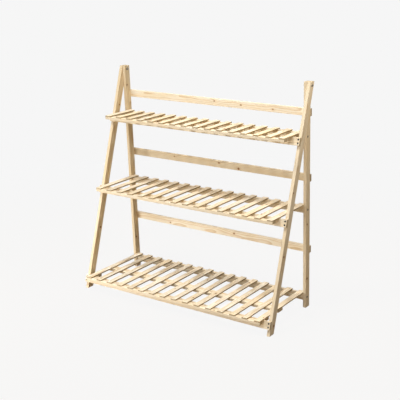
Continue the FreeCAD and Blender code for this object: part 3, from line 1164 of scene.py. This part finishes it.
@dataclass(frozen=True)
class RearFrame(LeaningFrame):
    """Rear legs with three back rails, and the bolts that join the two frames."""

    body: str = "rear_frame"
    legs: str = "rear_leg_"
    lean: float = -0.0414
    facing: int = 1
    board_height: float = 31.0 * MM
    screw_x: float = 457.8 * MM
    pivot_mouth: tuple[float, float] = (4.75 * MM, 2.7 * MM)  # radius and depth
    bolt: FoldBolt = FoldBolt()
    bolt_play: float = 0.2 * MM  # how much narrower the washer between the legs is than their gap
    bolt_past_nut: float = 1.0 * MM

    def build(self) -> None:
        """Builds the legs, the back rails, their screws and the fold bolts."""
        looks = {
            Side.LEFT: Look(0.97, 1.0, 30, (Knot(400, -8, 3.4), Knot(-334, -5, 4.4))),
            Side.RIGHT: Look(0.95, 0.7, 32, (Knot(-110, -7, 4.2), Knot(-354, -6, 5.2))),
        }
        for side, look in looks.items():
            low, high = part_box(self.legs + side.name.lower())
            outer = high.x if side is Side.RIGHT else low.x
            mouths = []
            for tier in Tier:
                centre = box_centre(tier.value + "_pivot_screws")
                mouths.append(
                    Mouth(Vector((outer, centre.y, centre.z)), side.outward, *self.pivot_mouth)
                )
            self.leg(side, look, mouths)
        rails = {
            Tier.UPPER: Look(
                1.0, 0.25, 41, (Knot(4, 5, 2.8), Knot(138, 0, 3.2), Knot(292, -4, 3.2))
            ),
            Tier.MIDDLE: Look(
                0.77, 0.9, 42, (Knot(20, 6, 4.2), Knot(120, -7, 5.0), Knot(-220, 5, 3.0))
            ),
            Tier.LOWER: Look(1.1, 0.2, 43, (Knot(90, 3, 4.0), Knot(-260, -6, 3.0))),
        }
        self.cross_boards("back_rail", rails, seed=9)
        self.fold_joint()

    def fold_joint(self) -> None:
        """Builds the bolts, washers and nuts that the frames turn on."""
        bolt = self.bolt
        centre = box_centre("fold_bolts")
        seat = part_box("fold_bolts")[1].x - bolt.head_height
        low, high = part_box("rear_leg_right")
        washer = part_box("front_leg_right")[0].x - high.x - self.bolt_play
        # the bolt runs through both legs, both washers and the nut and stands a little past it
        reach = (seat - low.x) + washer + bolt.nut_height + self.bolt_past_nut

        def both_sides(x: float, way: int) -> Spots:
            """Places x from the middle on both sides, facing outwards or, for way -1, inwards."""
            return [(side.at(x, centre.y, centre.z), side.outward * way) for side in Side]

        zinc = self.palette.zinc_steel
        under_nut, between_legs = both_sides(low.x, 1), both_sides(high.x + bolt.washer_thick, 1)
        nuts = both_sides(low.x - bolt.washer_thick, -1)
        for node, slot, pattern, spots, finish in (
            (
                "fold_bolts",
                "bolt_steel",
                bolt.bolt_mesh(reach),
                both_sides(seat, 1),
                self.palette.bolt_steel,
            ),
            ("fold_nuts", "zinc_steel", bolt.nut_mesh(), nuts, zinc),
            (
                "fold_washers",
                "zinc_steel",
                bolt.washer_mesh(bolt.washer_thick),
                under_nut + between_legs,
                zinc,
            ),
        ):
            self.fasteners.fit(node, self.body, slot, pattern, spots, finish, 3)


class SlatRow(Arranger):
    """Lays a row of slats, each with its own grain, knots and tone."""

    SPANS = {
        "shift": ((0, -30, 26), (4000, 30, 80)),
        "knot_a": ((-1, -9, 0.1), (1, 9, 4.6)),
        "knot_b": ((-1, -12, 0.1), (1, 12, 2.6)),
        "knot_c": ((-9001, 0, 0.1), (-9000, 0, 0.1)),
    }
    SHADES = {"tone": (0.92, 1.04, 0.0), "blush": (0.0, 0.7, 91.0)}
    SEED_STEP = 17.0
    KNOT_REACH = 0.42  # knots keep to this share of the length either side of a slat's middle

    def __init__(self) -> None:
        """Builds the tree with its named inputs."""
        inputs = {
            "Slat": "Object",
            "Finish": "Material",
            "Count": "Int",
            "First": "Vector",
            "Pitch": "Float",
            "Seed": "Int",
            "Length": "Float",
        }
        super().__init__("slat_row", inputs)
        tree, start = self.tree, self.start
        step = add_node(tree, JOIN, start["Pitch"])
        feeds = {"Count": start["Count"], "Start Location": start["First"], "Offset": step}
        line = add_node(tree, "GeometryNodeMeshLine", named=feeds, mode="OFFSET")
        flow = self.copies(line, "Slat")
        half = add_node(tree, MATH, start["Length"], self.KNOT_REACH, operation="MULTIPLY")
        back = add_node(tree, MATH, half, -1.0, operation="MULTIPLY")
        for number, (name, (low, high)) in enumerate(self.SPANS.items()):
            seed = add_node(tree, MATH, start["Seed"], number * self.SEED_STEP, operation="ADD")
            value = add_node(
                tree, RANDOM, low, high, named={"Seed": seed}, data_type="FLOAT_VECTOR"
            )
            if name in ("knot_a", "knot_b"):
                parts = add_node(tree, SPLIT, value).outputs
                along = add_node(tree, REMAP, parts[0], -1.0, 1.0, back, half)
                value = add_node(tree, JOIN, along, parts[1], parts[2])
            feeds = {"Geometry": flow, "Name": name, "Value": value}
            flow = add_node(tree, STORE, named=feeds, data_type="FLOAT_VECTOR", domain="INSTANCE")
        for name, (low, high, seed_step) in self.SHADES.items():
            seed = add_node(tree, MATH, start["Seed"], seed_step, operation="ADD")
            spread = add_node(
                tree, RANDOM, named={2: low, 3: high, "Seed": seed}, data_type="FLOAT"
            )
            feeds = {"Geometry": flow, "Name": name, "Value": spread.outputs[1]}
            flow = add_node(tree, STORE, named=feeds, data_type="FLOAT", domain="INSTANCE")
        self.close(flow)


@dataclass(frozen=True)
class Shelf:
    """One slatted shelf: slats on rails, pins, pivot screws and washers, and, on the upper and
    lower tiers, stop blocks.
    """

    palette: Palette
    fasteners: FastenerSet
    row: SlatRow
    tier: Tier
    seed: int
    slat_count: int = 16
    slat_width: float = 25.6 * MM
    # painted shade that darkens the slats' narrow sides
    painted_side_shade: float = 1.25
    pivot_radius: float = 2.5 * MM
    pivot_bite: float = 10.0 * MM  # how far the pivot screws run into the rear rail's ends

    def node(self, part: str) -> str:
        """Name of one of this tier's frame nodes."""
        return self.tier.value + "_" + part

    def box(self, part: str) -> Box:
        """Box of one of this tier's frame nodes."""
        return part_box(self.node(part))

    def build(self) -> None:
        """Builds the shelf's pieces."""
        self.slats()
        rails = ["front_rail", "rear_rail"] + (["middle_rail"] if self.tier is Tier.LOWER else [])
        for number, part in enumerate(rails):
            self.rail(part, number)
        self.pins(rails)
        self.pivots()
        if self.tier is not Tier.MIDDLE:
            self.stops()

    def fit(
        self,
        part: str,
        slot: str,
        pattern: bpy.types.Mesh,
        spots: Spots,
        finish: bpy.types.Material,
        seed: int,
    ) -> None:
        """Puts in one set of the shelf's fasteners.

        Args:
            part: The set's node, less the tier.
            slot: The record's material slot.
            pattern: The fastener's mesh.
            spots: Its places and directions.
            finish: The metal.
            seed: Seed of the heads' turns.
        """
        self.fasteners.fit(self.node(part), self.node("shelf"), slot, pattern, spots, finish, seed)

    @property
    def pitch(self) -> float:
        """Distance from one slat's middle to the next."""
        low, high = self.box("slats")
        return (high.x - low.x - self.slat_width) / (self.slat_count - 1)

    def slats(self) -> None:
        """Lays the row of slats."""
        low, high = self.box("slats")
        middle = (low + high) / 2
        board = Board(
            name=self.node("slat"),
            centre=Vector((0, 0, 0)),
            along=Y_AXIS,
            across=X_AXIS,
            length=high.y - low.y,
            width=self.slat_width,
            thick=high.z - low.z,
            look=Look(seed=self.seed),
            painted_side_shade=self.painted_side_shade,
        )
        pattern = board.object(self.palette.spruce)
        pattern.modifiers.clear()
        for name in ("shift", "tone", "blush", *KNOT_LAYERS):
            pattern.data.attributes.remove(pattern.data.attributes[name])
        values = {
            "Slat": pattern,
            "Finish": self.palette.spruce,
            "Count": self.slat_count,
            "First": (low.x + self.slat_width / 2, middle.y, middle.z),
            "Pitch": self.pitch,
            "Seed": self.seed,
            "Length": (high.y - low.y) / MM,
        }
        name = self.node("slat_row")
        piece = self.row.run(name, bpy.data.meshes.new(name), values)
        bpy.data.objects.remove(pattern)
        soften(piece)
        settle(piece, self.node("shelf"), "slat_wood", self.node("slats"))

    def rail(self, part: str, number: int) -> None:
        """Makes one rail under the slats.

        Args:
            part: The rail's node, less the tier.
            number: Its place in the row of rails, for its grain and knots.
        """
        low, high = self.box(part)
        size = high - low
        upright = size.z > size.y
        knots = (Knot(-180 + 130 * number, 4, 3.6), Knot(230 - 60 * number, -4, 3.0))
        board = Board(
            name=self.node(part) + "_board",
            centre=(low + high) / 2,
            along=X_AXIS,
            across=Z_AXIS if upright else Y_AXIS,
            length=size.x,
            width=size.z if upright else size.y,
            thick=size.y if upright else size.z,
            look=Look(seed=self.seed * 7 + number, knots=knots),
        )
        settle(board.object(self.palette.spruce), self.node("shelf"), "board_wood", self.node(part))

    def pins(self, rails: list[str]) -> None:
        """Drives a pin through each slat into each rail."""
        low, high = self.box("slats")
        first = low.x + self.slat_width / 2
        spots = [
            (Vector((first + index * self.pitch, box_centre(self.node(part)).y, high.z)), Z_AXIS)
            for part in rails
            for index in range(self.slat_count)
        ]
        pattern = SlatPin().mesh(self.node("slat_pin"))
        self.fit("slat_pins", "pin_steel", pattern, spots, self.palette.pin_steel, 1)

    def pivots(self) -> None:
        """Fits the pivot screws and the washers between the shelf and the rear legs."""
        rail_end = self.box("rear_rail")[1].x
        centre, outer = box_centre(self.node("pivot_screws")), self.box("pivot_screws")[1].x
        spots = [(side.at(outer - HEAD_GAP, centre.y, centre.z), side.outward) for side in Side]
        length = outer - rail_end + self.pivot_bite
        screw = WoodScrew(4.6 * MM, 2.6 * MM, self.pivot_radius, length)
        pattern = screw.mesh(self.node("pivot_screw"))
        self.fit("pivot_screws", "screw_steel", pattern, spots, self.palette.screw_steel, self.seed)
        low, high = self.box("pivot_washers")
        washer = FoldBolt(radius=self.pivot_radius, washer_radius=(high.z - low.z) / 2)
        spots = [(side.at(high.x, centre.y, centre.z), side.outward) for side in Side]
        pattern = washer.washer_mesh(high.x - rail_end)
        self.fit("pivot_washers", "zinc_steel", pattern, spots, self.palette.zinc_steel, 2)

    def stops(self) -> None:
        """Makes the two stop blocks under the outer slats."""
        low, high = self.box("stop_blocks")
        joined = bmesh.new()
        for side in Side:
            centre = (low + high) / 2
            centre.x = side.value * (high.x - self.slat_width / 2)
            board = Board(
                name=self.node("stop_block"),
                centre=centre,
                along=X_AXIS,
                across=Y_AXIS,
                length=self.slat_width,
                width=high.y - low.y,
                thick=high.z - low.z,
                look=Look(0.97, seed=self.seed * 3 + side.value),
            )
            block = board.object(self.palette.spruce)
            joined.from_mesh(block.data)
            bpy.data.objects.remove(block)
        name = self.node("stop_blocks_pair")
        mesh = poured(joined, name)
        mesh.materials.append(self.palette.spruce)
        pair = linked(name, mesh)
        soften(pair)
        settle(pair, self.node("shelf"), "board_wood", self.node("stop_blocks"))


# ---- studio ------------------------------------------------------------------------


@dataclass(frozen=True)
class SoftLamp:
    """A square softbox: where it hangs and points, its side, power, tint and spread in degrees."""

    name: str
    place: Triple
    aim: Triple
    size: float
    power: float
    colour: Triple = (1.0, 1.0, 1.0)
    spread: float = 180.0


@dataclass(frozen=True)
class SkyGlow:
    """A broad soft patch of light far away: azimuth and elevation in degrees, and radiance."""

    azimuth: float
    elevation: float
    strength: float
    colour: Triple


def towards(azimuth: float, elevation: float) -> Vector:
    """Direction to a viewpoint, given in degrees: azimuth 0 is in front, 90 to the right."""
    a, e = math.radians(azimuth), math.radians(elevation)
    return Vector((math.sin(a) * math.cos(e), -math.cos(a) * math.cos(e), math.sin(e)))


def ray_is_seen(tree: bpy.types.NodeTree) -> bpy.types.Node:
    """Adds what is 1 where the ray comes from the camera, a reflection or glass, and 0 elsewhere.

    Args:
        tree: The tree of a material or the world.

    Returns:
        The node that gives it.
    """
    rays = add_node(tree, "ShaderNodeLightPath").outputs
    direct = add_node(tree, MATH, rays["Is Camera Ray"], rays["Is Glossy Ray"], operation="MAXIMUM")
    return add_node(tree, MATH, direct, rays["Is Transmission Ray"], operation="MAXIMUM")


@dataclass(frozen=True)
class Studio:
    """Plain pale floor, soft lamps mostly from above and the left, and the photograph's camera."""

    background: str = "#f6f6f6"
    azimuth: float = 34.401
    elevation: float = 16.342
    roll: float = -0.536
    target: Triple = (0.02116, 0.02098, 0.44519)
    distance: float = 3.7426
    focal_pixels: float = 876.369
    frame_pixels: float = 400.0
    sensor_mm: float = 36.0
    fill: Triple = (1.0, 0.8, 0.56)
    fill_strength: float = 0.055
    floor_reach: float = 30.0
    # linear, for bounced light
    floor_colour: tuple[float, float, float, float] = (0.31, 0.24, 0.155, 1)
    floor_fade: tuple[float, float] = (0.9, 2.6)  # metres from the middle
    # how much of the floor is background near the stand; the rest takes shadow
    floor_share: float = 0.93
    floor_power: float = 1.055  # makes up for the rest near the stand
    # cosines of the angles where a glow is nought and full
    glow_edge: tuple[float, float] = (0.84, 0.97)
    lamps: tuple[SoftLamp, ...] = (
        SoftLamp(
            "key_overhead", (-0.35, -1.7, 5.2), (0.0, 0.0, 0.45), 0.9, 193.0, (0.965, 0.99, 1.0)
        ),
        SoftLamp(
            "front_left_near",
            (-1.3, -1.7, 0.6),
            (-0.35, 0.0, -0.05),
            0.8,
            5.3,
            (0.98, 0.99, 1.0),
            72.0,
        ),
        SoftLamp(
            "front_right_high", (0.9, -1.1, 1.6), (0.4, 0.15, 0.95), 0.5, 5.6, (0.97, 0.985, 1.0)
        ),
        SoftLamp("right_high", (1.25, 0.05, 1.6), (0.3, 0.05, 0.95), 0.45, 7.6, (1.0, 0.92, 0.8)),
        SoftLamp("back_top", (-0.6, 1.7, 3.2), (0.0, 0.0, 0.45), 0.9, 26.0),
    )
    glows: tuple[SkyGlow, ...] = (
        SkyGlow(-14.0, 9.0, 0.85, (0.98, 0.985, 1.0)),
        SkyGlow(-85.0, 22.0, 0.8, (0.96, 0.985, 1.0)),
    )

    def build(self) -> None:
        """Builds the floor, the lamps, the world and the camera."""
        self.floor()
        self.world()
        for lamp in self.lamps:
            self.hang(lamp)
        self.camera()
        LOG.info("studio: %d lamps, %d glows, floor and camera", len(self.lamps), len(self.glows))

    def floor(self) -> None:
        """Makes the floor, which shows the object's shadow faintly on the pale ground."""
        mesh = bpy.data.meshes.new("floor")
        r = self.floor_reach
        mesh.from_pydata([(-r, -r, 0), (r, -r, 0), (r, r, 0), (-r, r, 0)], [], [(0, 1, 2, 3)])
        obj = linked("floor", mesh)
        # painted board: even and matt, near white to the eye and wood-toned to the light it bounces
        material, tree = empty_material("floor_pale")
        seen = ray_is_seen(tree)
        # round the stand the floor takes its shadow; further out it fades into the plain background
        where = add_node(tree, "ShaderNodeTexCoord").outputs["Object"]
        away = add_node(tree, VECTOR, where, operation="LENGTH").outputs["Value"]
        fade = {"interpolation_type": "SMOOTHSTEP"}
        taken = add_node(tree, REMAP, away, *self.floor_fade, self.floor_share, 1.0, **fade)
        power = add_node(tree, REMAP, away, *self.floor_fade, self.floor_power, 1.0, **fade)
        share = add_node(tree, MATH, seen, taken, operation="MULTIPLY")
        matt = add_node(tree, "ShaderNodeBsdfDiffuse", self.floor_colour)
        glow = add_node(tree, "ShaderNodeEmission", linear(self.background), power)
        mix = add_node(tree, "ShaderNodeMixShader", share, matt, glow)
        add_node(tree, "ShaderNodeOutputMaterial", mix)
        mesh.materials.append(material)

    def world(self) -> None:
        """Lights the object evenly from all round and shows the pale ground behind it."""
        world = bpy.data.worlds.new("studio")
        bpy.context.scene.world = world
        world.use_nodes = True
        tree = world.node_tree
        tree.nodes.clear()
        seen = ray_is_seen(tree)
        base = tuple(c * self.fill_strength for c in self.fill)
        light = add_node(tree, VECTOR, base, (0.0, 0.0, 0.0), operation="ADD")
        where = add_node(tree, "ShaderNodeTexCoord").outputs["Generated"]
        for glow in self.glows:
            middle = towards(glow.azimuth, glow.elevation)
            facing = add_node(tree, VECTOR, where, middle, operation="DOT_PRODUCT").outputs["Value"]
            reach = (*self.glow_edge, 0.0, glow.strength)
            patch = add_node(tree, REMAP, facing, *reach, interpolation_type="SMOOTHSTEP")
            tinted = add_node(tree, VECTOR, glow.colour, named={"Scale": patch}, operation="SCALE")
            light = add_node(tree, VECTOR, light, tinted, operation="ADD")
        soft = add_node(tree, "ShaderNodeBackground", light, 1.0)
        pale = add_node(tree, "ShaderNodeBackground", linear(self.background), 1.0)
        mix = add_node(tree, "ShaderNodeMixShader", seen, soft, pale)
        add_node(tree, "ShaderNodeOutputWorld", mix)

    @staticmethod
    def hang(lamp: SoftLamp) -> None:
        """Hangs one lamp."""
        data = bpy.data.lights.new(lamp.name, "AREA")
        data.size, data.energy, data.color = lamp.size, lamp.power, lamp.colour
        data.spread = math.radians(lamp.spread)
        obj = bpy.data.objects.new(lamp.name, data)
        obj.location = lamp.place
        way = Vector(lamp.aim) - Vector(lamp.place)
        obj.rotation_euler = way.to_track_quat("-Z", "Y").to_euler()
        bpy.context.scene.collection.objects.link(obj)

    def camera(self) -> None:
        """Sets the camera that the photograph's fitted lines give."""
        azimuth, roll = math.radians(self.azimuth), math.radians(self.roll)
        back = towards(self.azimuth, self.elevation)
        right = Vector((math.cos(azimuth), math.sin(azimuth), 0))
        up = back.cross(right)
        turned_right = right * math.cos(roll) + up * math.sin(roll)
        turned_up = up * math.cos(roll) - right * math.sin(roll)
        data = bpy.data.cameras.new("camera")
        data.sensor_width = self.sensor_mm
        data.lens = self.focal_pixels / self.frame_pixels * self.sensor_mm
        data.clip_start, data.clip_end = 0.1, 100.0
        camera = bpy.data.objects.new("camera", data)
        rotation = Matrix((turned_right, turned_up, back)).transposed().to_4x4()
        camera.matrix_world = Matrix.Translation(
            Vector(self.target) + back * self.distance
        ) @ rotation
        bpy.context.scene.collection.objects.link(camera)
        bpy.context.scene.camera = camera


def main() -> None:
    """Builds every sub-assembly and the studio, and sets the view transform."""
    logging.basicConfig(level=logging.INFO, format="%(message)s")
    palette = Palette.build()
    fasteners = FastenerSet()
    FrontFrame(palette, fasteners).build()
    RearFrame(palette, fasteners).build()
    row = SlatRow()
    for number, tier in enumerate(Tier):
        Shelf(palette, fasteners, row, tier, seed=51 + 13 * number).build()
    Studio().build()
    view = bpy.context.scene.view_settings
    view.view_transform = "Standard"


if __name__ == "__main__":
    main()
